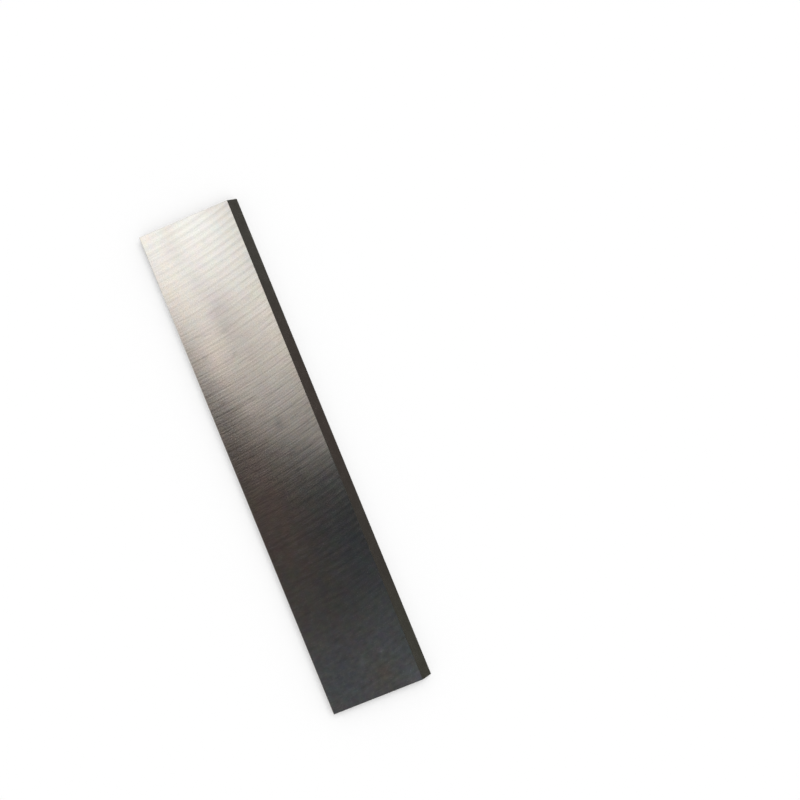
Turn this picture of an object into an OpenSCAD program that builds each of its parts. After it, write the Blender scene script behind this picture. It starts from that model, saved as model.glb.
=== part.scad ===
// Planer knife: a flat bar of hardened tool steel with one long edge ground to a single bevel.
// The knife lies on its rake face. +X runs along the cutting edge, +Y from the back edge to
// the cutting edge and +Z through the thickness. The origin is the middle of the rake face.

/* [Blank] */
// Length of the knife, along its cutting edge
knife_l = 172; // [40:1:640]
// Width of the knife, from its back edge to its cutting edge
knife_w = 35; // [20:0.5:60]
// Thickness of the knife, between its two wide ground faces
knife_t = 3; // [2:0.1:5]

/* [Cutting edge] */
// Wedge angle between the bevel and the rake face, in degrees
bevel_angle = 47; // [30:1:60]
// Width of the fine land honed along the cutting edge, measured up its slope
land_w = 0.15; // [0.05:0.05:0.4]
// How much steeper the honed land stands than the bevel, in degrees
land_lift = 3; // [1:1:10]

/* [Broken edges] */
// Leg of the break stoned along the ridge, where the bevel leaves the upper face
ridge_break = 0.1; // [0.05:0.05:0.4]
// Leg of the breaks along the two corners of the back edge
back_break = 0.25; // [0.05:0.05:0.8]
// Leg of the break that runs round each end
end_break = 0.15; // [0.05:0.05:0.5]

/* [Hidden] */

// Corners of the section as ground, as [y, z], before any of them is broken
cutting_edge = [knife_w / 2, 0];
land_angle = bevel_angle + land_lift;
land_top = cutting_edge + land_w * [-cos(land_angle), sin(land_angle)];
ridge = [land_top.x - (knife_t - land_top.y) / tan(bevel_angle), knife_t];
back_top = [-knife_w / 2, knife_t];
back_low = [-knife_w / 2, 0];

// Finished section, anticlockwise with y to the right and z up: the cutting edge stays sharp
section = concat(
    [cutting_edge, land_top],
    broken_corner(land_top, ridge, back_top, ridge_break),
    broken_corner(ridge, back_top, back_low, back_break),
    broken_corner(back_top, back_low, cutting_edge, back_break)
);

// The two points that take a corner's place once it is cut back by the same leg along both sides
function broken_corner(before, corner, after, leg) = [
    corner + leg * unit(before - corner),
    corner + leg * unit(after - corner)
];

function unit(v) = v / norm(v);

// Bar with the knife's finished section, cut square to its full length
module ground_bar() {
    rotate([90, 0, 90])
        linear_extrude(knife_l, center = true)
            polygon(section);
}

// Wedge that breaks the edge between the +X end and the face of the section from p to q.
// Each wedge runs past the face, and neighbouring wedges meet in a mitre.
module end_wedge(p, q) {
    run = q - p;
    over = end_break;
    translate([knife_l / 2, p.x, p.y])
        rotate([atan2(run.y, run.x), 0, 0])
            translate([0, norm(run) / 2, 0])
                rotate([90, 0, 0])
                    linear_extrude(norm(run) + 2 * over, center = true)
                        polygon([
                            [-end_break - over, -over],
                            [over, -over],
                            [over, end_break + over]
                        ]);
}

// The break round the +X end, one wedge for each face of the section
module end_wedges() {
    for (i = [0 : len(section) - 1])
        end_wedge(section[i], section[(i + 1) % len(section)]);
}

module knife() {
    color("#8c8781")
        difference() {
            ground_bar();
            end_wedges();
            mirror([1, 0, 0]) end_wedges();
        }
}

knife();
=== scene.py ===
"""Looks of a planer knife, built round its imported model.

The knife lies flat on its rake face. +X runs along the cutting edge, +Y from the back edge to the
cutting edge and +Z through the thickness. Lengths are in metres, as in the frame. The patterns of
the finishes are worked out in millimetres, on the knife's own coordinates.
"""

from __future__ import annotations

import logging
import math
from dataclasses import dataclass, field
from enum import Enum
from typing import Any, Sequence, Union

import bmesh
import bpy
import numpy as np
from mathutils import Matrix, Vector

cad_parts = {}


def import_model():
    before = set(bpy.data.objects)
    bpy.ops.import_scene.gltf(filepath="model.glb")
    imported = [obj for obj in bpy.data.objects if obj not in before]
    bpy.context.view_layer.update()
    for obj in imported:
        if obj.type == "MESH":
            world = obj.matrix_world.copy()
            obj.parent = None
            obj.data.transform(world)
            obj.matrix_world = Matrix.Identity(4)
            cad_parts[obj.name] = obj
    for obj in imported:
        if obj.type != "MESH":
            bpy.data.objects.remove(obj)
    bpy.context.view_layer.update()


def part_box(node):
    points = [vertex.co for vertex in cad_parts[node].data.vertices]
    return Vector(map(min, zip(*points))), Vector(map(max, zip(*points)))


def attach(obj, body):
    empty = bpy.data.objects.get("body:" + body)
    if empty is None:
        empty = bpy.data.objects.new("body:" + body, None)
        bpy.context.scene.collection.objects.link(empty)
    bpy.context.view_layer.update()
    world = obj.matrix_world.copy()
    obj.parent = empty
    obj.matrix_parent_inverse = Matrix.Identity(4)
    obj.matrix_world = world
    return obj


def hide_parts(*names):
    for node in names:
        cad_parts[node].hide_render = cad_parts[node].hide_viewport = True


LOG = logging.getLogger("planer_knife")
MM = 0.001
NODE = "knife"
BODY = "root"

Colour = tuple[float, float, float]
Span = tuple[float, float]
Operand = Union["Value", float]

WHITE: Colour = (1.0, 1.0, 1.0)
NOISE_MEAN: Colour = (0.5, 0.5, 0.5)
NOISE_ROUGHNESS = 0.55
# How many finer octaves a noise has on top of its own grain
SMOOTH = 0.0
FINE = 2.0
RAGGED = 3.0


class Value:
    """A number socket that can stand in a Python expression.

    Each operator adds one Math node to the socket's tree, so 1 - mask works as it reads.
    """

    def __init__(self, graph: Graph, socket: bpy.types.NodeSocket) -> None:
        """Wraps a socket of the graph's tree."""
        self.graph = graph
        self.socket = socket

    def __add__(self, other: Operand) -> Value:
        """Sum of two numbers."""
        return self.graph.math("ADD", self, other)

    def __radd__(self, other: Operand) -> Value:
        """Sum with a plain number on the left."""
        return self.graph.math("ADD", other, self)

    def __sub__(self, other: Operand) -> Value:
        """Difference of two numbers."""
        return self.graph.math("SUBTRACT", self, other)

    def __rsub__(self, other: Operand) -> Value:
        """Difference with a plain number on the left."""
        return self.graph.math("SUBTRACT", other, self)

    def __mul__(self, other: Operand) -> Value:
        """Product of two numbers."""
        return self.graph.math("MULTIPLY", self, other)

    def __rmul__(self, other: Operand) -> Value:
        """Product with a plain number on the left."""
        return self.graph.math("MULTIPLY", other, self)

    def __truediv__(self, other: Operand) -> Value:
        """Quotient of two numbers."""
        return self.graph.math("DIVIDE", self, other)

    def __pow__(self, exponent: Operand) -> Value:
        """The number raised to a power."""
        return self.graph.math("POWER", self, exponent)

    def cosine(self) -> Value:
        """Cosine of an angle in radians."""
        return self.graph.math("COSINE", self)

    def root(self) -> Value:
        """Square root."""
        return self.graph.math("SQRT", self)

    def exponential(self) -> Value:
        """e raised to the number."""
        return self.graph.math("EXPONENT", self)

    def rise(self, low: float, high: float) -> Value:
        """Smooth step from 0 at low to 1 at high.

        Args:
            low: where the step starts.
            high: where it ends.

        Returns:
            The step's value.
        """
        node = self.graph.node(
            "ShaderNodeMapRange",
            {"interpolation_type": "SMOOTHSTEP"},
            {"Value": self, "From Min": low, "From Max": high},
        )
        return Value(self.graph, node.outputs["Result"])


class Graph:
    """The node tree of one material or of the world, to which nodes are added one at a time."""

    def __init__(self, tree: bpy.types.NodeTree) -> None:
        """Empties the tree.

        Args:
            tree: the node tree to fill.
        """
        self.tree = tree
        self.tree.nodes.clear()

    def node(
        self,
        kind: str,
        settings: dict[str, Any] | None = None,
        inputs: dict[str | int, Any] | None = None,
    ) -> bpy.types.Node:
        """Adds one node.

        Args:
            kind: the node's type, such as ShaderNodeMath.
            settings: its own settings, which are made first.
            inputs: a number, colour, Value or socket for each input, by name or by place.

        Returns:
            The node.
        """
        made = self.tree.nodes.new(kind)
        for name, setting in (settings or {}).items():
            setattr(made, name, setting)
        for name, given in (inputs or {}).items():
            target = made.inputs[name]
            given = given.socket if isinstance(given, Value) else given
            if isinstance(given, bpy.types.NodeSocket):
                self.tree.links.new(given, target)
            else:
                target.default_value = given
        return made

    def math(self, operation: str, *operands: Operand) -> Value:
        """Adds one Math node.

        Args:
            operation: the node's operation.
            operands: its inputs, in order.

        Returns:
            The result.
        """
        node = self.node("ShaderNodeMath", {"operation": operation}, dict(enumerate(operands)))
        return Value(self, node.outputs[0])

    def vector(self, operation: str, inputs: dict[str | int, Any]) -> bpy.types.NodeSocket:
        """Adds one Vector Math node.

        Args:
            operation: the node's operation.
            inputs: its inputs, by name or by place.

        Returns:
            The resulting vector.
        """
        return self.node("ShaderNodeVectorMath", {"operation": operation}, inputs).outputs[0]

    def join(self, x: Operand, y: Operand, z: Operand) -> bpy.types.NodeSocket:
        """Joins three numbers into a vector.

        Args:
            x: the first number.
            y: the second number.
            z: the third number.

        Returns:
            The vector.
        """
        return self.node("ShaderNodeCombineXYZ", inputs={0: x, 1: y, 2: z}).outputs[0]

    def mix(self, share: Operand, first: Any, second: Any) -> bpy.types.NodeSocket:
        """Mixes two colours.

        Args:
            share: how much of the second colour there is, from 0 to 1.
            first: a colour or a colour socket.
            second: a colour or a colour socket.

        Returns:
            The mixed colour.
        """
        factor_at, first_at, second_at, result_at = 0, 6, 7, 2
        node = self.node(
            "ShaderNodeMix",
            {"data_type": "RGBA"},
            {factor_at: share, first_at: opaque(first), second_at: opaque(second)},
        )
        return node.outputs[result_at]

    def scaled(self, colour: Any, by: Operand) -> bpy.types.NodeSocket:
        """Lightens or darkens a colour.

        Args:
            colour: a colour or a colour socket.
            by: the factor, where 1 leaves the colour as it is.

        Returns:
            The scaled colour.
        """
        return self.vector("SCALE", {0: colour, "Scale": by})

    def place(self) -> tuple[Value, Value, Value]:
        """The point being shaded, in the object's own coordinates.

        Returns:
            Its x, y and z in millimetres.
        """
        source = self.node("ShaderNodeTexCoord").outputs["Object"]
        parts = self.node("ShaderNodeSeparateXYZ", inputs={0: source})
        x, y, z = (Value(self, socket) / MM for socket in parts.outputs)
        return x, y, z

    def noise(self, x: Operand, y: Operand, z: Operand, octaves: float = FINE) -> Value:
        """Smooth noise about one unit in size.

        Args:
            x: the first coordinate, in units of the noise's grain.
            y: the second coordinate.
            z: the third coordinate.
            octaves: how many finer octaves are added.

        Returns:
            A number from -1 to 1.
        """
        place = self.join(x, y, z)
        node = self.node(
            "ShaderNodeTexNoise",
            {"noise_dimensions": "3D"},
            {"Vector": place, "Scale": 1.0, "Detail": octaves, "Roughness": NOISE_ROUGHNESS},
        )
        return 2.0 * Value(self, node.outputs[0]) - 1.0

    def finish(
        self,
        kind: str,
        inputs: dict[str | int, Any],
        output: str = "ShaderNodeOutputMaterial",
    ) -> None:
        """Adds the shader and the output that shows it.

        Args:
            kind: type of the shader's node.
            inputs: the shader's inputs, by name or by place.
            output: type of the output's node.
        """
        shader = self.node(kind, inputs=inputs).outputs[0]
        self.node(output, inputs={"Surface": shader})


def opaque(colour: Any) -> Any:
    """Adds a full alpha to a plain colour and leaves a socket as it is."""
    return (*colour, 1.0) if isinstance(colour, tuple) else colour


def new_material(name: str) -> tuple[bpy.types.Material, Graph]:
    """Makes an empty material.

    Args:
        name: its name.

    Returns:
        The material and the graph of its nodes.
    """
    material = bpy.data.materials.new(name)
    material.use_nodes = True
    return material, Graph(material.node_tree)


class Offset(Enum):
    """What each noise adds to its finish's seed, so that no two of them are alike."""

    LAYER = 7.3
    DRIFT = 40.0
    GRIT = 50.0
    STAIN = 55.0
    STRENGTH = 60.0
    SPECKLE = 65.0
    FLECK = 80.0
    MOTLEY = 110.0

    def of(self, seed: float) -> float:
        """The noise's own seed."""
        return seed + self.value


@dataclass(frozen=True)
class Scratches:
    """One layer of parallel grinding scratches.

    Attributes:
        pitch: distance between neighbouring scratches, in millimetres.
        reach: distance over which one scratch keeps its strength, in millimetres.
        tilt: how far the scratches tip the surface, in radians.
        shade: share by which they lighten and darken the colour.
        thin: 0 for even scratches; above 0, thin lines alone, the thinner the smaller it is.
    """

    pitch: float
    reach: float
    tilt: float
    shade: float
    thin: float = 0.0

    def grain(self, graph: Graph, across: Value, along: Value, seed: float) -> Value:
        """The scratches' own pattern: noise, or max(0, 1 - |noise| / thin) for thin lines.

        Args:
            graph: the material's graph.
            across: place across the scratches, in millimetres.
            along: place along the scratches, in millimetres.
            seed: what makes this layer differ from another.

        Returns:
            The pattern, from -1 to 1, or from 0 to 1 for thin lines.
        """
        octaves = SMOOTH if self.thin else FINE
        pattern = graph.noise(across / self.pitch, along / self.reach, seed, octaves)
        if self.thin:
            fall = 1.0 - graph.math("ABSOLUTE", pattern) / self.thin
            pattern = graph.math("MAXIMUM", fall, 0.0)
        return pattern

    def shading(self, graph: Graph, across: Value, along: Value, seed: float) -> Value:
        """How far the scratches lighten the colour.

        Args:
            graph: the material's graph.
            across: place across the scratches, in millimetres.
            along: place along the scratches, in millimetres.
            seed: what makes this layer differ from another.

        Returns:
            The share by which they lighten it.
        """
        return self.grain(graph, across, along, seed) * self.shade


@dataclass(frozen=True)
class Patch:
    """A soft-edged patch of film or stain on the steel.

    Attributes:
        x: place of its middle along the knife, in millimetres.
        y: place of its middle across the knife, in millimetres.
        half_x: distance along the knife at which it has faded, in millimetres.
        half_y: distance across the knife at which it has faded, in millimetres.
        colour: the colour it gives the steel.
        strength: share of that colour at its middle.
        fall: the power of e by which it has fallen where it has faded.
        ragged_size: grain of the noise that makes it uneven, in millimetres.
        raggedness: share by which that noise changes its strength.
    """

    x: float
    y: float
    half_x: float
    half_y: float
    colour: Colour
    strength: float
    fall: float = 2.0
    ragged_size: float = 3.5
    raggedness: float = 0.5

    def cover(self, graph: Graph, x: Value, y: Value, seed: float) -> Value:
        """How much of the patch's colour there is: strength * exp(-fall * d^2) * (1 + ragged).

        The distance d is 0 in the middle and 1 where the patch has faded.

        Args:
            graph: the material's graph.
            x: place along the knife, in millimetres.
            y: place across the knife, in millimetres.
            seed: what makes this face differ from another.

        Returns:
            The share of the patch's colour.
        """
        ragged = graph.noise(x / self.ragged_size, y / self.ragged_size, seed + self.x, RAGGED)
        along = (x - self.x) / self.half_x
        across = (y - self.y) / self.half_y
        distance = along * along + across * across
        share = (distance * -self.fall).exponential() * self.strength
        return share * (1.0 + self.raggedness * ragged)


@dataclass(frozen=True)
class Tint:
    """A colour that the steel takes on along the knife.

    Attributes:
        start: place along the knife where it begins to show, in millimetres.
        end: place from which it shows in full, in millimetres.
        colour: the colour it gives the steel.
    """

    start: float
    end: float
    colour: Colour


@dataclass(frozen=True)
class WheelArcs:
    """Marks of a ring-shaped grinding wheel that was fed along the knife.

    All marks are arcs of one circle whose centre travels along the knife. A mark is told by the
    place s of that centre: s = x - sqrt(radius^2 - (y - centre_y)^2).

    Attributes:
        radius: radius of the wheel, in millimetres.
        centre_y: place of its centre across the knife, in millimetres.
    """

    radius: float = 165.0
    centre_y: float = -29.0

    def mark(self, x: Value, y: Value) -> tuple[Value, Value, Value]:
        """Finds the mark through a point and the direction across it.

        Args:
            x: place along the knife, in millimetres.
            y: place across the knife, in millimetres.

        Returns:
            The mark's place s, and the x and y of the unit vector that crosses the mark.
        """
        sine = (y - self.centre_y) / self.radius
        cosine = (1.0 - sine * sine).root()
        return x - cosine * self.radius, cosine, sine


@dataclass(frozen=True)
class Harmonic:
    """One harmonic of the feed marks: level + swell * exp(-((x - peak) / reach)^2) strong.

    Attributes:
        order: how many of its waves go into the feed of one turn.
        lag: its phase against the first harmonic, in radians.
        level: share by which it lightens and darkens the colour far from its peak.
        swell: what its peak adds to that share.
        peak: place along the knife where it is strongest, in millimetres.
        reach: how far the peak reaches, in millimetres.
        slant: share by which it is stronger for each millimetre towards the cutting edge.
    """

    order: int
    lag: float
    level: float
    swell: float
    peak: float
    reach: float
    slant: float = 0.0

    def strength(self, x: Value, y: Value) -> Value:
        """How strong the harmonic is at a point.

        Args:
            x: place along the knife, in millimetres.
            y: place across the knife, in millimetres.

        Returns:
            The share by which its crests lighten the colour.
        """
        away = (x - self.peak) / self.reach
        strength = (away * away * -1.0).exponential() * self.swell + self.level
        return strength * (1.0 + y * self.slant)

    def wave(self, turns: Value) -> Value:
        """Its wave, from -1 to 1, after a number of the wheel's turns."""
        phase = turns * (2.0 * math.pi * self.order) + self.lag
        return phase.cosine()


@dataclass(frozen=True)
class FeedMarks:
    """The regular marks of the wheel, one for each of its turns.

    Attributes:
        feed: length that the knife moved for each turn, in millimetres.
        wander: how far a mark strays from its regular place, in millimetres.
        slowing: how fast the feed grows towards the +X end, per millimetre.
        slowing_from: where that growth starts, in millimetres.
        unevenness: share by which the strength varies from place to place.
        drift_size: grain of the wander across and along the marks, in millimetres.
        uneven_size: grain of the unevenness across and along the marks, in millimetres.
        harmonics: the harmonics that make up the marks' profile.
    """

    feed: float = 2.45
    wander: float = 0.22
    slowing: float = 0.0016
    slowing_from: float = 25.0
    unevenness: float = 0.6
    drift_size: Span = (11.0, 40.0)
    uneven_size: Span = (10.0, 12.0)
    harmonics: tuple[Harmonic, ...] = (
        Harmonic(order=1, lag=0.0, level=0.033, swell=0.002, peak=10.0, reach=30.0, slant=0.035),
        Harmonic(order=1, lag=0.0, level=0.0, swell=-0.009, peak=72.0, reach=26.0),
        Harmonic(order=1, lag=0.0, level=0.0, swell=0.024, peak=-78.0, reach=24.0, slant=0.04),
        Harmonic(order=2, lag=-2.5, level=0.004, swell=0.058, peak=-28.0, reach=34.0),
        Harmonic(order=3, lag=-0.5, level=0.002, swell=0.060, peak=-12.0, reach=22.0),
    )

    def wave(self, graph: Graph, mark: Value, x: Value, y: Value, seed: float) -> Value:
        """Adds up the harmonics: strength * cos(2 pi * order * turns + lag).

        Args:
            graph: the material's graph.
            mark: the mark's place s, in millimetres.
            x: place along the knife, in millimetres.
            y: place across the knife, in millimetres.
            seed: what makes this face differ from another.

        Returns:
            The share by which the marks lighten the colour.
        """
        across, along = self.drift_size
        drift = graph.noise(mark / across, y / along, Offset.DRIFT.of(seed))
        late = graph.math("MAXIMUM", x - self.slowing_from, 0.0)
        turns = (mark + drift * self.wander - late * late * self.slowing) / self.feed
        across, along = self.uneven_size
        uneven = graph.noise(mark / across, y / along, Offset.STRENGTH.of(seed))
        total: Operand = 0.0
        for harmonic in self.harmonics:
            total = harmonic.strength(x, y) * harmonic.wave(turns) + total
        return total * (1.0 + self.unevenness * uneven)


class Finish:
    """A finish of the steel. Each kind says how the colour, gloss and normal vary."""

    name: str

    def dress(self) -> bpy.types.Material:
        """Builds the finish as a material.

        Returns:
            The material.
        """
        material, graph = new_material(self.name)
        colour, roughness, normal = self.surface(graph)
        graph.finish(
            "ShaderNodeBsdfPrincipled",
            {"Base Color": colour, "Metallic": 1.0, "Roughness": roughness, "Normal": normal},
        )
        return material

    def surface(self, graph: Graph) -> tuple[Any, Operand, bpy.types.NodeSocket]:
        """Works out what varies over the surface.

        Args:
            graph: the material's graph.

        Returns:
            The colour, the roughness and the normal.
        """
        raise NotImplementedError


def tipped(
    graph: Graph,
    tilt: Value,
    across: tuple[Operand, Operand, Operand],
) -> bpy.types.NodeSocket:
    """Tips the surface's normal: normal = unit(face normal + tilt * across).

    Args:
        graph: the material's graph.
        tilt: the angle of the tip, in radians.
        across: the unit vector towards which the normal tips.

    Returns:
        The tipped normal.
    """
    face = graph.node("ShaderNodeNewGeometry").outputs["Normal"]
    lean = graph.scaled(graph.join(*across), tilt)
    return graph.vector("NORMALIZE", {0: graph.vector("ADD", {0: face, 1: lean})})


def streaks(
    graph: Graph,
    layers: Sequence[Scratches],
    across: Value,
    along: Value,
    seed: float,
) -> tuple[Value, Value]:
    """Adds up layers of scratches.

    Args:
        graph: the material's graph.
        layers: the layers.
        across: place across the scratches, in millimetres.
        along: place along the scratches, in millimetres.
        seed: what makes this set of scratches differ from another.

    Returns:
        The tilt in radians, and the share by which the colour is lightened.
    """
    tilt: Operand = 0.0
    shade: Operand = 0.0
    for number, layer in enumerate(layers):
        grain = layer.grain(graph, across, along, seed + Offset.LAYER.value * number)
        tilt = grain * layer.tilt + tilt
        shade = grain * layer.shade + shade
    return tilt, shade


@dataclass(frozen=True)
class GroundFace(Finish):
    """A wide face, surface ground with arc-shaped marks and a thin film of oil.

    Attributes:
        steel: the colour of most of the face.
        warm: the colour of its warmer flecks.
        cool: the colour of its cooler flecks.
        cloud_size: grain of the large clouds, in millimetres.
        cloud_weight: share of the clouds in the tint.
        cloud_shade: share by which the clouds lighten the colour.
        cloud_roughness: what the clouds add to the roughness.
        shade_roughness: what a full shade adds to the roughness.
        fleck_size: grain of the flecks, in millimetres.
        tint_span: noise over which the cool tint passes into the warm one.
        tint_share: share of the two tints in the colour.
        motley_size: grain of the flecks of every tint, in millimetres.
        motley_share: their strength where the film is thin and where it is thick.
        motley_roughness: how rough their noise is.
        film_span: stretch of the knife over which the film grows thicker.
        worn_span: stretch of the knife over which the speckles come up.
        grit: short specks all over the face.
        stain: dashes of stain in the film.
        speckle: speckles of the worn stretch.
        busy_x: place along the knife where the scratches are strongest, in millimetres.
        busy_reach: how far that goes, in millimetres.
        calm: the scratches' strength far from there.
        mark_tilt: how far the feed marks tip the surface for a full shade, in radians.
    """

    name: str
    seed: float
    arcs: WheelArcs = WheelArcs()
    steel: Colour = (0.60, 0.575, 0.545)
    warm: Colour = (0.62, 0.565, 0.50)
    cool: Colour = (0.53, 0.55, 0.57)
    roughness: float = 0.185
    cloud_size: float = 9.0
    cloud_weight: float = 0.6
    cloud_shade: float = 0.055
    cloud_roughness: float = 0.02
    shade_roughness: float = 0.15
    fleck_size: float = 1.3
    tint_span: Span = (-0.6, 0.6)
    tint_share: float = 0.45
    motley_size: float = 3.2
    motley_share: Span = (0.13, 0.36)
    motley_roughness: float = 0.6
    film_span: Span = (-20.0, 40.0)
    worn_span: Span = (44.0, 76.0)
    patches: tuple[Patch, ...] = ()
    layers: tuple[Scratches, ...] = (
        Scratches(pitch=0.70, reach=9.0, tilt=-0.004, shade=0.03),
        Scratches(pitch=0.35, reach=12.0, tilt=-0.012, shade=0.08),
        Scratches(pitch=0.17, reach=5.0, tilt=-0.021, shade=0.12),
        Scratches(pitch=1.00, reach=24.0, tilt=0.009, shade=-0.13, thin=0.07),
    )
    grit: Scratches = Scratches(pitch=0.40, reach=0.40, tilt=0.0, shade=0.44)
    stain: Scratches = Scratches(pitch=1.0, reach=5.0, tilt=0.0, shade=0.19)
    speckle: Scratches = Scratches(pitch=1.6, reach=2.0, tilt=0.0, shade=0.28)
    busy_x: float = -26.0
    busy_reach: float = 38.0
    calm: float = 0.42
    marks: FeedMarks = FeedMarks()
    mark_tilt: float = -0.03

    def surface(self, graph: Graph) -> tuple[Any, Operand, bpy.types.NodeSocket]:
        """Works out what varies over the face.

        Args:
            graph: the material's graph.

        Returns:
            The colour, the roughness and the normal.
        """
        x, y, _ = graph.place()
        mark, across_x, across_y = self.arcs.mark(x, y)
        film = x.rise(*self.film_span)
        away = (x - self.busy_x) / self.busy_reach
        depth = self.calm + (1.0 - self.calm) * (away * away * -1.0).exponential()
        tilt, shade = streaks(graph, self.layers, mark, y, self.seed)
        grit = self.grit.shading(graph, mark, y, Offset.GRIT.of(self.seed))
        stain = self.stain.shading(graph, mark, y, Offset.STAIN.of(self.seed))
        speckle = self.speckle.shading(graph, mark, y, Offset.SPECKLE.of(self.seed))
        wave = self.marks.wave(graph, mark, x, y, self.seed)
        cloud = graph.noise(x / self.cloud_size, y / self.cloud_size, self.seed, RAGGED)
        tilt = tilt * depth + wave * self.mark_tilt
        shade = (shade + grit) * depth + wave + stain * film + cloud * self.cloud_shade
        shade = shade + speckle * x.rise(*self.worn_span)
        colour = self.tint(graph, x, y, cloud)
        for patch in self.patches:
            colour = graph.mix(patch.cover(graph, x, y, self.seed), colour, patch.colour)
        colour = graph.vector("MULTIPLY", {0: colour, 1: self.motley(graph, x, y, film)})
        roughness = self.roughness + self.cloud_roughness * cloud + self.shade_roughness * shade
        normal = tipped(graph, tilt, (across_x, across_y, 0.0))
        return graph.scaled(colour, 1.0 + shade), roughness, normal

    def tint(self, graph: Graph, x: Value, y: Value, cloud: Value) -> bpy.types.NodeSocket:
        """The steel's colour with its cooler and warmer flecks.

        Args:
            graph: the material's graph.
            x: place along the knife, in millimetres.
            y: place across the knife, in millimetres.
            cloud: the noise of the large clouds.

        Returns:
            The colour.
        """
        fleck = graph.noise(x / self.fleck_size, y / self.fleck_size, Offset.FLECK.of(self.seed))
        tone = (cloud * self.cloud_weight + fleck).rise(*self.tint_span)
        flecks = graph.mix(tone, self.cool, self.warm)
        return graph.mix(self.tint_share, self.steel, flecks)

    def motley(self, graph: Graph, x: Value, y: Value, film: Value) -> bpy.types.NodeSocket:
        """Small flecks of every tint, stronger towards the +X end, where the film is thicker.

        Args:
            graph: the material's graph.
            x: place along the knife, in millimetres.
            y: place across the knife, in millimetres.
            film: how thick the film is, from 0 to 1.

        Returns:
            The factor for each channel of the colour.
        """
        seed = Offset.MOTLEY.of(self.seed)
        place = graph.join(x / self.motley_size, y / self.motley_size, seed)
        rough = self.motley_roughness
        flecks = graph.node(
            "ShaderNodeTexNoise",
            inputs={"Vector": place, "Scale": 1.0, "Detail": FINE, "Roughness": rough},
        )
        low, high = self.motley_share
        share = low + (high - low) * film
        swing = graph.vector("SUBTRACT", {0: flecks.outputs["Color"], 1: NOISE_MEAN})
        return graph.vector("ADD", {0: graph.scaled(swing, share), 1: WHITE})


@dataclass(frozen=True)
class StraightGround(Finish):
    """A narrow face with straight grinding marks."""

    name: str
    seed: float
    marks_along_x: bool
    steel: Colour
    roughness: float
    layers: tuple[Scratches, ...]
    tints: tuple[Tint, ...] = ()
    blotches: float = 0.16
    blotch_size: float = 4.0
    blotch_roughness: float = 0.04
    shade_roughness: float = 0.3

    def surface(self, graph: Graph) -> tuple[Any, Operand, bpy.types.NodeSocket]:
        """Works out what varies over the face.

        Args:
            graph: the material's graph.

        Returns:
            The colour, the roughness and the normal.
        """
        x, y, z = graph.place()
        across, along = (y + z, x) if self.marks_along_x else (x, y + z)
        direction = (0.0, 0.0, 1.0) if self.marks_along_x else (1.0, 0.0, 0.0)
        tilt, shade = streaks(graph, self.layers, across, along, self.seed)
        size = self.blotch_size
        blotch = graph.noise(x / size, y / size, z / size + self.seed, RAGGED)
        roughness = self.roughness + self.blotch_roughness * blotch + self.shade_roughness * shade
        colour = graph.scaled(self.tint(graph, x), 1.0 + shade + self.blotches * blotch)
        return colour, roughness, tipped(graph, tilt, direction)

    def tint(self, graph: Graph, x: Value) -> Any:
        """The steel's colour, with its tints blended in from the -X end to the +X end.

        Args:
            graph: the material's graph.
            x: place along the knife, in millimetres.

        Returns:
            The colour.
        """
        colour: Any = self.steel
        for tint in self.tints:
            colour = graph.mix(x.rise(tint.start, tint.end), colour, tint.colour)
        return colour


@dataclass(frozen=True)
class CutEnd(Finish):
    """An end face, cut to length with an abrasive wheel and ground square.

    Attributes:
        slope: how far the scratches lean across the thickness.
        end_shift: what sets one end's scratches apart from the other's, per millimetre.
    """

    name: str
    seed: float
    steel: Colour
    roughness: float
    layers: tuple[Scratches, ...]
    slope: float = 0.15
    end_shift: float = 0.02
    blotches: float = 0.10
    blotch_size: float = 5.0
    blotch_roughness: float = 0.05
    shade_roughness: float = 0.3

    def surface(self, graph: Graph) -> tuple[Any, Operand, bpy.types.NodeSocket]:
        """Works out what varies over the end.

        Args:
            graph: the material's graph.

        Returns:
            The colour, the roughness and the normal.
        """
        x, y, z = graph.place()
        across, along = y + self.slope * z, z + self.end_shift * x
        tilt, shade = streaks(graph, self.layers, across, along, self.seed)
        size = self.blotch_size
        blotch = graph.noise(x / size, y / size, z / size + self.seed, RAGGED)
        colour = graph.scaled(self.steel, 1.0 + shade + self.blotches * blotch)
        roughness = self.roughness + self.blotch_roughness * blotch + self.shade_roughness * shade
        return colour, roughness, tipped(graph, tilt, (0.0, 1.0, 0.0))


class Region(Enum):
    """The surfaces of the knife, each with a finish of its own."""

    RAKE = 0
    LAND = 1
    BEVEL = 2
    UPPER = 3
    BACK = 4
    END = 5
    BREAK = 6
    RIDGE = 7


@dataclass
class SectionCorner:
    """A corner of the knife's section.

    Attributes:
        place: its y and z before it is broken, in metres.
        leg: how far its break runs along both sides, in metres; 0 keeps it sharp.
        side: the surface that runs from this corner to the next.
        edge: the surface of its break.
    """

    place: tuple[float, float]
    leg: float
    side: Region
    edge: Region = Region.BREAK


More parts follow.
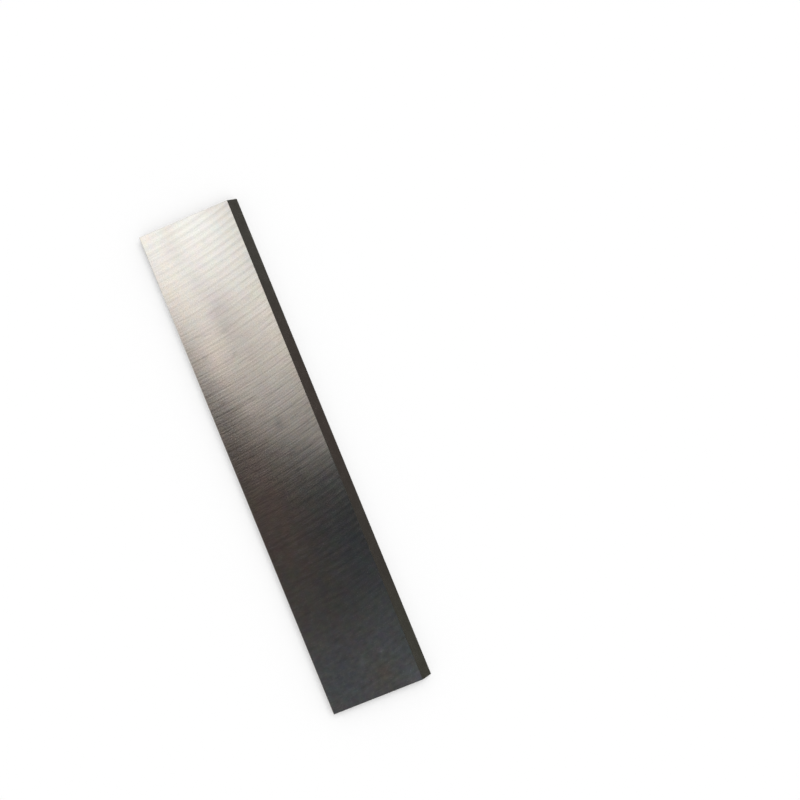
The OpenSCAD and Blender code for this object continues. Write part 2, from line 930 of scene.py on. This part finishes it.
@dataclass
class KnifeSection:
    """Section of the knife across its length, anticlockwise with y to the right and z up."""

    width: float
    thickness: float
    bevel_angle: float = math.radians(47.0)
    land_width: float = 0.15 * MM
    land_lift: float = math.radians(3.0)
    ridge_break: float = 0.10 * MM
    back_break: float = 0.25 * MM
    arc_steps: int = 5

    def corners(self) -> list[SectionCorner]:
        """Places of the corners.

        Returns:
            The cutting edge, the top of the land, the ridge and the two corners of the back edge.
        """
        half = self.width / 2.0
        land_angle = self.bevel_angle + self.land_lift
        land_y = half - self.land_width * math.cos(land_angle)
        land_z = self.land_width * math.sin(land_angle)
        ridge_y = land_y - (self.thickness - land_z) / math.tan(self.bevel_angle)
        return [
            SectionCorner((half, 0.0), 0.0, Region.LAND),
            SectionCorner((land_y, land_z), 0.0, Region.BEVEL),
            SectionCorner((ridge_y, self.thickness), self.ridge_break, Region.UPPER, Region.RIDGE),
            SectionCorner((-half, self.thickness), self.back_break, Region.BACK),
            SectionCorner((-half, 0.0), self.back_break, Region.RAKE),
        ]

    def outline(self) -> SectionOutline:
        """Works out the outline with its corners rounded.

        A broken corner becomes an arc that touches both sides at the end of its leg:
        radius = leg / tan(turn / 2), and its points are centre + radius * normal.

        Returns:
            The outline.
        """
        corners = self.corners()
        places = np.array([corner.place for corner in corners])
        runs = np.roll(places, -1, axis=0) - places
        runs /= np.linalg.norm(runs, axis=1)[:, None]
        outward = np.stack([runs[:, 1], -runs[:, 0]], axis=1)
        outline = SectionOutline()
        for index, corner in enumerate(corners):
            before, after = outward[index - 1], outward[index]
            mitre = (before + after) / (1.0 + before @ after)
            turn = math.acos(float(np.clip(before @ after, -1.0, 1.0)))
            radius = corner.leg / math.tan(turn / 2.0)
            steps = self.arc_steps if corner.leg > 0.0 else 0
            share = np.linspace(0.0, 1.0, steps + 1)[:, None]
            weights = np.sin((1.0 - share) * turn), np.sin(share * turn)
            normals = (weights[0] * before + weights[1] * after) / math.sin(turn)
            sides = [corner.edge] * (len(normals) - 1) + [corner.side]
            outline.add(places[index] - radius * mitre, radius, mitre, normals, sides)
        return outline


@dataclass
class SectionOutline:
    """Outline of the section, kept so that it can be drawn again at any depth below its faces."""

    centres: list[np.ndarray] = field(default_factory=list)
    radii: list[float] = field(default_factory=list)
    mitres: list[np.ndarray] = field(default_factory=list)
    normals: list[np.ndarray] = field(default_factory=list)
    sides: list[Region] = field(default_factory=list)

    def add(
        self,
        centre: np.ndarray,
        radius: float,
        mitre: np.ndarray,
        normals: np.ndarray,
        sides: list[Region],
    ) -> None:
        """Adds one corner's points.

        Args:
            centre: centre of the corner's arc, as y and z.
            radius: radius of the arc; 0 for a sharp corner.
            mitre: the corner's way inwards for each unit of depth, turned outwards.
            normals: outward unit vectors, one for each point of the arc.
            sides: the surface that follows each of those points.
        """
        count = len(normals)
        self.centres += [centre] * count
        self.radii += [radius] * count
        self.mitres += [mitre] * count
        self.normals += list(normals)
        self.sides += sides

    def at_depth(self, depths: np.ndarray) -> np.ndarray:
        """Draws the outline at several depths: centre + (radius - depth) * direction.

        The direction is the arc's own normal while the depth is less than the radius, and the
        corner's mitre beyond it, where the arc has shrunk to a point.

        Args:
            depths: the depths, one for each copy.

        Returns:
            The points, as copies by points by y and z.
        """
        centres, radii = np.array(self.centres), np.array(self.radii)
        left = radii[None, :] - depths[:, None]
        direction = np.where(
            (left >= 0.0)[..., None] & (radii > 0.0)[None, :, None],
            np.array(self.normals)[None],
            np.array(self.mitres)[None],
        )
        return centres[None] + left[..., None] * direction


@dataclass
class Knife:
    """The knife: its section carried along its length, with a rounded break at both ends."""

    length: float
    section: KnifeSection
    finishes: dict[Region, Finish]
    end_break: float = 0.15 * MM
    end_steps: int = 4

    def build(self) -> bpy.types.Object:
        """Builds the knife and dresses it.

        Returns:
            The knife's object.
        """
        outline = self.section.outline()
        stations, depths = self.stations()
        rings = outline.at_depth(depths)
        along = np.broadcast_to(stations[:, None, None], rings.shape[:2] + (1,))
        points = np.concatenate([along, rings], axis=2).reshape(-1, 3)
        faces, regions = self.faces(len(stations), outline.sides)
        mesh = bpy.data.meshes.new("planer_knife")
        mesh.from_pydata(points, [], faces)
        mesh.polygons.foreach_set("material_index", regions)
        mesh.polygons.foreach_set("use_smooth", regions == Region.BREAK.value)
        for region in Region:
            mesh.materials.append(self.finishes[region].dress())
        self.merge_doubles(mesh)
        piece = bpy.data.objects.new("planer_knife", mesh)
        bpy.context.collection.objects.link(piece)
        return piece

    def stations(self) -> tuple[np.ndarray, np.ndarray]:
        """Places along the knife and how deep the outline is drawn there.

        Over the last stretch, as long as the break, the outline sinks on a quarter circle:
        x = length / 2 - leg + leg * sin(a) and depth = leg * (1 - cos(a)).

        Returns:
            The places in metres, and the depths in metres.
        """
        angles = np.linspace(0.0, math.pi / 2.0, self.end_steps + 1)
        half = self.length / 2.0 - self.end_break + self.end_break * np.sin(angles)
        depth = self.end_break * (1.0 - np.cos(angles))
        return np.concatenate([-half[::-1], half]), np.concatenate([depth[::-1], depth])

    def faces(self, count: int, sides: Sequence[Region]) -> tuple[list[list[int]], np.ndarray]:
        """Joins neighbouring rings with faces and closes both ends.

        Args:
            count: number of rings.
            sides: the surface that follows each point of a ring.

        Returns:
            The faces as lists of points, and the surface of each as a number.
        """
        size = len(sides)
        ring = np.arange(count - 1)[:, None] * size
        here = np.arange(size)[None, :]
        after = (here + 1) % size
        quads = np.stack([ring + here, ring + after, ring + size + after, ring + size + here], 2)
        regions = np.tile([side.value for side in sides], (count - 1, 1))
        regions[: self.end_steps] = Region.BREAK.value
        regions[count - 1 - self.end_steps :] = Region.BREAK.value
        low_end = list(range(size - 1, -1, -1))
        high_end = list(range((count - 1) * size, count * size))
        faces = quads.reshape(-1, 4).tolist() + [low_end, high_end]
        return faces, np.append(regions.ravel(), [Region.END.value] * 2)

    @staticmethod
    def merge_doubles(mesh: bpy.types.Mesh, within: float = 1e-7) -> None:
        """Merges points that lie in the same place.

        Args:
            mesh: the mesh to clean.
            within: the distance under which two points are one, in metres.
        """
        edit = bmesh.new()
        edit.from_mesh(mesh)
        bmesh.ops.remove_doubles(edit, verts=edit.verts, dist=within)
        edit.to_mesh(mesh)
        edit.free()


@dataclass
class PhotoCamera:
    """The camera of the photograph, which looks down on the knife.

    Attributes:
        place: where it stands.
        aim: the point that it looks at.
        picture_up: the direction that points up in the picture.
        lens: its focal length, in millimetres.
        nearest: distance from which it sees things.
        farthest: distance up to which it sees them.
    """

    place: Vector = Vector((0.23, 59.35, 329.91)) * MM
    aim: Vector = Vector((-2.62, 42.62, 0.0)) * MM
    picture_up: Vector = Vector((-0.9252, 0.3793, -0.0112))
    lens: float = 44.56
    nearest: float = 10.0 * MM
    farthest: float = 20.0

    def build(self) -> None:
        """Makes the camera and hands it to the scene."""
        data = bpy.data.cameras.new("photo_camera")
        data.lens = self.lens
        data.clip_start = self.nearest
        data.clip_end = self.farthest
        camera = bpy.data.objects.new("photo_camera", data)
        bpy.context.collection.objects.link(camera)
        back = (self.place - self.aim).normalized()
        right = self.picture_up.cross(back).normalized()
        up = back.cross(right)
        turn = Matrix((right, up, back)).transposed()
        camera.matrix_world = Matrix.Translation(self.place) @ turn.to_4x4()
        bpy.context.scene.camera = camera


@dataclass(frozen=True)
class CanopyLight:
    """Light of the card overhead, told by the place on the knife that mirrors each spot of it.

    A spot is known by the place u along the knife and v across it, in millimetres, that mirrors
    it towards the camera. The light rises from nothing at the bowed edge
    edge = edge_u - edge_bow * (edge_v - v)^2 towards the -X end:
    light = clamp((edge - u) / ramp)^ramp_power. Past that edge the card is dark.

    Attributes:
        edge_u: place along the knife that the edge reaches furthest, in millimetres.
        edge_v: place across the knife where it does so, in millimetres.
        edge_bow: how strongly the edge is bowed, per millimetre.
        edge_least: place along the knife that the edge never falls short of, in millimetres.
        ramp_ridge: length of the rise at the ridge, in millimetres.
        ramp_back: length of the rise at the back edge, in millimetres.
        ramp_across: stretch across the knife over which one passes into the other.
        ramp_power: power that shapes the rise.
        corner: share of the light that is missing past the ridge.
        corner_across: stretch across the knife over which it goes missing.
        full: colour of the light where it is strong.
        middling: its colour where it is weaker.
        full_over: how strong the light is where the one colour passes into the other.
        dark_back: colour of the dark part at the back edge.
        dark_ridge: its colour at the ridge.
        dark_across: stretch across the knife over which one passes into the other.
        dark_end: its colour at the +X end.
        dark_along: stretch along the knife over which that colour comes up.
        around_left: colour of the card's surroundings on the -X side.
        around_right: their colour on the +X side.
        around_along: stretch along the knife over which one passes into the other.
        around_over: distance across the knife over which the surroundings begin.
    """

    edge_u: float = 9.0
    edge_v: float = 17.4
    edge_bow: float = 0.034
    edge_least: float = -38.0
    ramp_ridge: float = 78.0
    ramp_back: float = 47.5
    ramp_across: Span = (-16.0, 10.0)
    ramp_power: float = 0.64
    corner: float = 0.66
    corner_across: Span = (10.0, 26.0)
    full: Colour = (1.52, 1.54, 1.51)
    middling: Colour = (1.54, 1.45, 1.35)
    full_over: Span = (0.66, 1.06)
    dark_back: Colour = (0.074, 0.060, 0.054)
    dark_ridge: Colour = (0.044, 0.047, 0.049)
    dark_across: Span = (-12.0, 6.0)
    dark_end: Colour = (0.103, 0.110, 0.117)
    dark_along: Span = (28.0, 88.0)
    around_left: Colour = (0.80, 0.80, 0.80)
    around_right: Colour = (0.35, 0.35, 0.36)
    around_along: Span = (-140.0, 140.0)
    around_over: Span = (70.0, 170.0)

    def colour(self, graph: Graph, u: Value, v: Value) -> bpy.types.NodeSocket:
        """Colour of the card at a spot.

        Args:
            graph: the card's graph.
            u: place along the knife that mirrors the spot, in millimetres.
            v: place across the knife that mirrors the spot, in millimetres.

        Returns:
            The colour, where 1 is white.
        """
        off = self.edge_v - v
        edge = graph.math("MAXIMUM", self.edge_u - self.edge_bow * off * off, self.edge_least)
        width = self.ramp_back + (self.ramp_ridge - self.ramp_back) * v.rise(*self.ramp_across)
        ramp = graph.math("MINIMUM", graph.math("MAXIMUM", (edge - u) / width, 0.0), 1.0)
        ramp = ramp ** self.ramp_power
        corner = 1.0 - self.corner * v.rise(*self.corner_across)
        light = graph.mix(ramp.rise(*self.full_over), self.middling, self.full)
        light = graph.scaled(light, ramp * corner)
        dark = graph.mix(v.rise(*self.dark_across), self.dark_back, self.dark_ridge)
        dark = graph.mix(u.rise(*self.dark_along), dark, self.dark_end)
        inner = graph.vector("ADD", {0: light, 1: dark})
        around = graph.mix(u.rise(*self.around_along), self.around_left, self.around_right)
        away = graph.math("ABSOLUTE", v - self.edge_v).rise(*self.around_over)
        return graph.mix(away, inner, around)


@dataclass
class Studio:
    """Floor, lamp, world and the cards that the steel mirrors.

    Attributes:
        camera: the camera that the canopy's light is meant for.
        mirror_height: height of the knife's upper face.
        cutting_edge: place of the cutting edge across the knife.
        light: light of the canopy.
        floor_half: half the floor's width.
        floor_gap: how far the floor lies below the knife.
        floor_colour: colour of the floor.
        world_level: light that the world gives the floor, where 1 is white.
        lamp_level: strength of the lamp.
        lamp_angle: how wide the lamp looks from the floor.
        lamp_turn: how the lamp is turned.
        spread: the canopy's height over the knife as a share of the camera's.
        canopy_half: half the canopy's width.
        flag_half: half the flags' width.
        wall_half: half the height of the upright flag.
        wall_y: place of the upright flag across the knife.
        paper_margin: what the flag on the floor keeps from the cutting edge and passes the wall by.
        paper_height: how far that flag lies above the knife's underside.
        flag_rise: height over which the flags grow lighter, in millimetres.
        flag_low: their colour near the floor.
        flag_high: their colour higher up.
    """

    camera: PhotoCamera
    mirror_height: float
    cutting_edge: float
    light: CanopyLight = CanopyLight()
    floor_half: float = 2.5
    floor_gap: float = 0.01 * MM
    floor_colour: Colour = (0.96, 0.96, 0.96)
    world_level: float = 0.8
    lamp_level: float = 0.9
    lamp_angle: float = math.radians(40.0)
    lamp_turn: tuple[float, float, float] = (math.radians(-25.0), math.radians(-20.0), 0.0)
    spread: float = 1.0
    canopy_half: float = 1.6
    flag_half: float = 1.2
    wall_half: float = 0.22
    wall_y: float = 0.45
    paper_margin: float = 0.01 * MM
    paper_height: float = 0.005 * MM
    flag_rise: Span = (120.0, 260.0)
    flag_low: Colour = (0.10, 0.095, 0.085)
    flag_high: Colour = (0.55, 0.55, 0.54)

    def build(self) -> None:
        """Builds the whole studio."""
        self.build_world()
        self.build_lamp()
        self.build_floor()
        self.build_canopy()
        self.build_flags()

    def build_world(self) -> None:
        """White behind everything and in the steel, and soft light on the floor."""
        world = bpy.data.worlds.new("studio")
        bpy.context.scene.world = world
        world.use_nodes = True
        graph = Graph(world.node_tree)
        rays = graph.node("ShaderNodeLightPath").outputs
        seen: Operand = 0.0
        for kind in ("Is Camera Ray", "Is Glossy Ray", "Is Transmission Ray"):
            seen = graph.math("MAXIMUM", seen, Value(graph, rays[kind]))
        level = seen * (1.0 - self.world_level) + self.world_level
        inputs = {"Color": opaque(WHITE), "Strength": level}
        graph.finish("ShaderNodeBackground", inputs, "ShaderNodeOutputWorld")

    def build_lamp(self) -> None:
        """A very soft lamp from above, which the steel doesn't mirror."""
        data = bpy.data.lights.new("key", "SUN")
        data.energy = self.lamp_level
        data.angle = self.lamp_angle
        lamp = bpy.data.objects.new("key", data)
        lamp.rotation_euler = self.lamp_turn
        lamp.visible_glossy = False
        bpy.context.collection.objects.link(lamp)

    def build_floor(self) -> None:
        """A plain white floor just under the knife."""
        place = Matrix.Translation((0.0, 0.0, -self.floor_gap))
        floor = self.card("floor", (self.floor_half, self.floor_half), place)
        material, graph = new_material("white_floor")
        graph.finish("ShaderNodeBsdfDiffuse", {"Color": opaque(self.floor_colour)})
        floor.data.materials.append(material)

    def build_canopy(self) -> None:
        """The card overhead. Each spot has the light that the knife mirrors towards the camera."""
        height = self.mirror_height + self.spread * (self.camera.place.z - self.mirror_height)
        place = Matrix.Translation((0.0, 0.0, height))
        canopy = self.card("canopy", (self.canopy_half, self.canopy_half), place)
        self.only_mirrored(canopy)
        material, graph = new_material("canopy_light")
        x, y, _ = graph.place()
        reach = 1.0 + self.spread
        u = (x + self.spread * self.camera.place.x / MM) / reach
        v = (y + self.spread * self.camera.place.y / MM) / reach
        graph.finish("ShaderNodeEmission", {"Color": self.light.colour(graph, u, v)})
        canopy.data.materials.append(material)

    def build_flags(self) -> None:
        """Dark cards beyond the cutting edge, which the bevel mirrors."""
        upright = Matrix.Rotation(math.radians(90.0), 4, "X")
        place = Matrix.Translation((0.0, self.wall_y, self.wall_half))
        wall = self.card("wall_flag", (self.flag_half, self.wall_half), place @ upright)
        near, far = self.cutting_edge + self.paper_margin, self.wall_y + self.paper_margin
        place = Matrix.Translation((0.0, (near + far) / 2.0, self.paper_height))
        paper = self.card("floor_flag", (self.flag_half, (far - near) / 2.0), place)
        material, graph = new_material("flag_dark")
        # Mirror rays alone find the flags; aiming at them as lamps makes the upper face noisier
        material.cycles.emission_sampling = "NONE"
        _, _, z = graph.place()
        colour = graph.mix(z.rise(*self.flag_rise), self.flag_low, self.flag_high)
        graph.finish("ShaderNodeEmission", {"Color": colour})
        for flag in (wall, paper):
            flag.data.materials.append(material)
            self.only_mirrored(flag)

    @staticmethod
    def card(name: str, half: tuple[float, float], place: Matrix) -> bpy.types.Object:
        """A flat rectangular card.

        Args:
            name: its name.
            half: half its width and half its depth, in metres.
            place: where its middle goes and how it is turned.

        Returns:
            The card's object, with its place in its mesh.
        """
        corners = np.array([(-1, -1, 0), (1, -1, 0), (1, 1, 0), (-1, 1, 0)]) * (*half, 1.0)
        mesh = bpy.data.meshes.new(name)
        mesh.from_pydata(corners, [], [(0, 1, 2, 3)])
        mesh.transform(place)
        made = bpy.data.objects.new(name, mesh)
        bpy.context.collection.objects.link(made)
        return made

    @staticmethod
    def only_mirrored(card: bpy.types.Object) -> None:
        """Lets a card show in the steel alone, so that it lights and shades nothing else."""
        card.visible_camera = False
        card.visible_diffuse = False
        card.visible_shadow = False
        card.visible_transmission = False


def knife_finishes() -> dict[Region, Finish]:
    """The finish of each surface of the knife.

    Returns:
        The finishes.
    """
    stains = (
        Patch(x=-82.0, y=2.0, half_x=12.0, half_y=9.0, colour=(0.63, 0.625, 0.61), strength=0.5),
        Patch(x=-79.0, y=-8.0, half_x=12.0, half_y=4.0, colour=(0.48, 0.46, 0.46), strength=0.45),
        Patch(x=-64.0, y=-5.0, half_x=9.0, half_y=4.5, colour=(0.46, 0.44, 0.44), strength=0.35),
        Patch(x=-51.0, y=-1.5, half_x=13.0, half_y=6.0, colour=(0.40, 0.37, 0.38), strength=0.6),
        Patch(x=-42.0, y=2.0, half_x=26.0, half_y=7.0, colour=(0.48, 0.46, 0.44), strength=0.5),
        Patch(x=-43.0, y=-18.0, half_x=14.0, half_y=5.0, colour=(0.46, 0.43, 0.42), strength=0.6),
        Patch(x=-40.0, y=13.5, half_x=26.0, half_y=5.0, colour=(0.70, 0.67, 0.62), strength=0.8),
        Patch(x=-36.0, y=-9.0, half_x=15.0, half_y=5.0, colour=(0.70, 0.65, 0.61), strength=0.8),
        Patch(x=-20.0, y=-4.0, half_x=9.0, half_y=5.5, colour=(0.76, 0.72, 0.68), strength=0.4),
        Patch(x=1.0, y=14.5, half_x=8.0, half_y=5.0, colour=(0.84, 0.81, 0.77), strength=0.6),
        Patch(x=12.0, y=-9.5, half_x=27.0, half_y=10.0, colour=(0.69, 0.59, 0.55), strength=0.8),
        Patch(x=31.0, y=3.5, half_x=10.0, half_y=6.0, colour=(0.42, 0.44, 0.46), strength=0.35),
        Patch(x=53.0, y=-4.0, half_x=14.0, half_y=18.0, colour=(0.45, 0.43, 0.41), strength=0.6),
        Patch(x=36.0, y=9.0, half_x=26.0, half_y=8.0, colour=(0.48, 0.51, 0.54), strength=0.7),
        Patch(x=85.0, y=13.0, half_x=10.0, half_y=5.0, colour=(0.76, 0.76, 0.76), strength=0.7),
        Patch(x=68.0, y=9.0, half_x=16.0, half_y=6.0, colour=(0.60, 0.61, 0.63), strength=0.6),
        Patch(x=75.0, y=-9.0, half_x=13.0, half_y=9.0, colour=(0.49, 0.52, 0.56), strength=0.6),
        Patch(x=79.5, y=3.0, half_x=6.5, half_y=5.0, colour=(0.68, 0.57, 0.46), strength=0.8),
        Patch(x=72.0, y=5.0, half_x=2.0, half_y=1.6, colour=(0.80, 0.82, 0.84), strength=0.4),
        Patch(x=73.5, y=-2.0, half_x=1.6, half_y=1.4, colour=(0.80, 0.82, 0.84), strength=0.4),
    )
    fine = (
        Scratches(pitch=0.30, reach=14.0, tilt=0.02, shade=0.06),
        Scratches(pitch=0.10, reach=6.0, tilt=0.04, shade=0.04),
    )
    soft = (
        Scratches(pitch=0.30, reach=9.0, tilt=0.008, shade=0.05),
        Scratches(pitch=0.12, reach=3.0, tilt=0.012, shade=0.04),
    )
    return {
        Region.RAKE: GroundFace(name="rake_face_ground", seed=31.0),
        Region.LAND: StraightGround(
            name="land_honed",
            seed=5.0,
            marks_along_x=True,
            steel=(0.42, 0.41, 0.39),
            roughness=0.18,
            layers=(Scratches(pitch=0.05, reach=20.0, tilt=0.02, shade=0.04),),
        ),
        Region.BEVEL: StraightGround(
            name="bevel_ground",
            seed=9.0,
            marks_along_x=False,
            steel=(0.42, 0.41, 0.38),
            roughness=0.26,
            layers=soft,
            tints=(
                Tint(start=-66.0, end=-26.0, colour=(0.39, 0.335, 0.315)),
                Tint(start=0.0, end=34.0, colour=(0.36, 0.335, 0.315)),
                Tint(start=46.0, end=66.0, colour=(0.39, 0.39, 0.345)),
            ),
        ),
        Region.UPPER: GroundFace(name="upper_face_ground", seed=3.0, patches=stains),
        Region.BACK: StraightGround(
            name="back_edge_ground",
            seed=13.0,
            marks_along_x=True,
            steel=(0.48, 0.465, 0.445),
            roughness=0.34,
            layers=fine,
        ),
        Region.END: CutEnd(
            name="end_cut",
            seed=17.0,
            steel=(0.50, 0.48, 0.46),
            roughness=0.38,
            layers=fine,
        ),
        # Painted shade: the narrow break at the ridge is coloured nearly black, so that it shows
        # dark instead of the light line it would mirror
        Region.RIDGE: StraightGround(
            name="ridge_painted_shade",
            seed=25.0,
            marks_along_x=True,
            steel=(0.16, 0.15, 0.135),
            roughness=0.34,
            layers=soft,
        ),
        Region.BREAK: StraightGround(
            name="edge_stoned",
            seed=21.0,
            marks_along_x=True,
            steel=(0.60, 0.58, 0.55),
            roughness=0.24,
            layers=(Scratches(pitch=0.08, reach=5.0, tilt=0.03, shade=0.05),),
        ),
    }


def main() -> None:
    """Builds the knife and its studio in order."""
    logging.basicConfig(level=logging.INFO, format="%(message)s")
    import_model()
    low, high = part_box(NODE)
    length, width, thickness = (high[axis] - low[axis] for axis in range(3))
    section = KnifeSection(width, thickness)
    knife = Knife(length, section, knife_finishes()).build()
    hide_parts(NODE)
    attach(knife, BODY)
    LOG.info("planer_knife: %d faces", len(knife.data.polygons))
    camera = PhotoCamera()
    camera.build()
    Studio(camera, mirror_height=thickness, cutting_edge=width / 2.0).build()
    bpy.context.scene.view_settings.view_transform = "Standard"


if __name__ == "__main__":
    main()
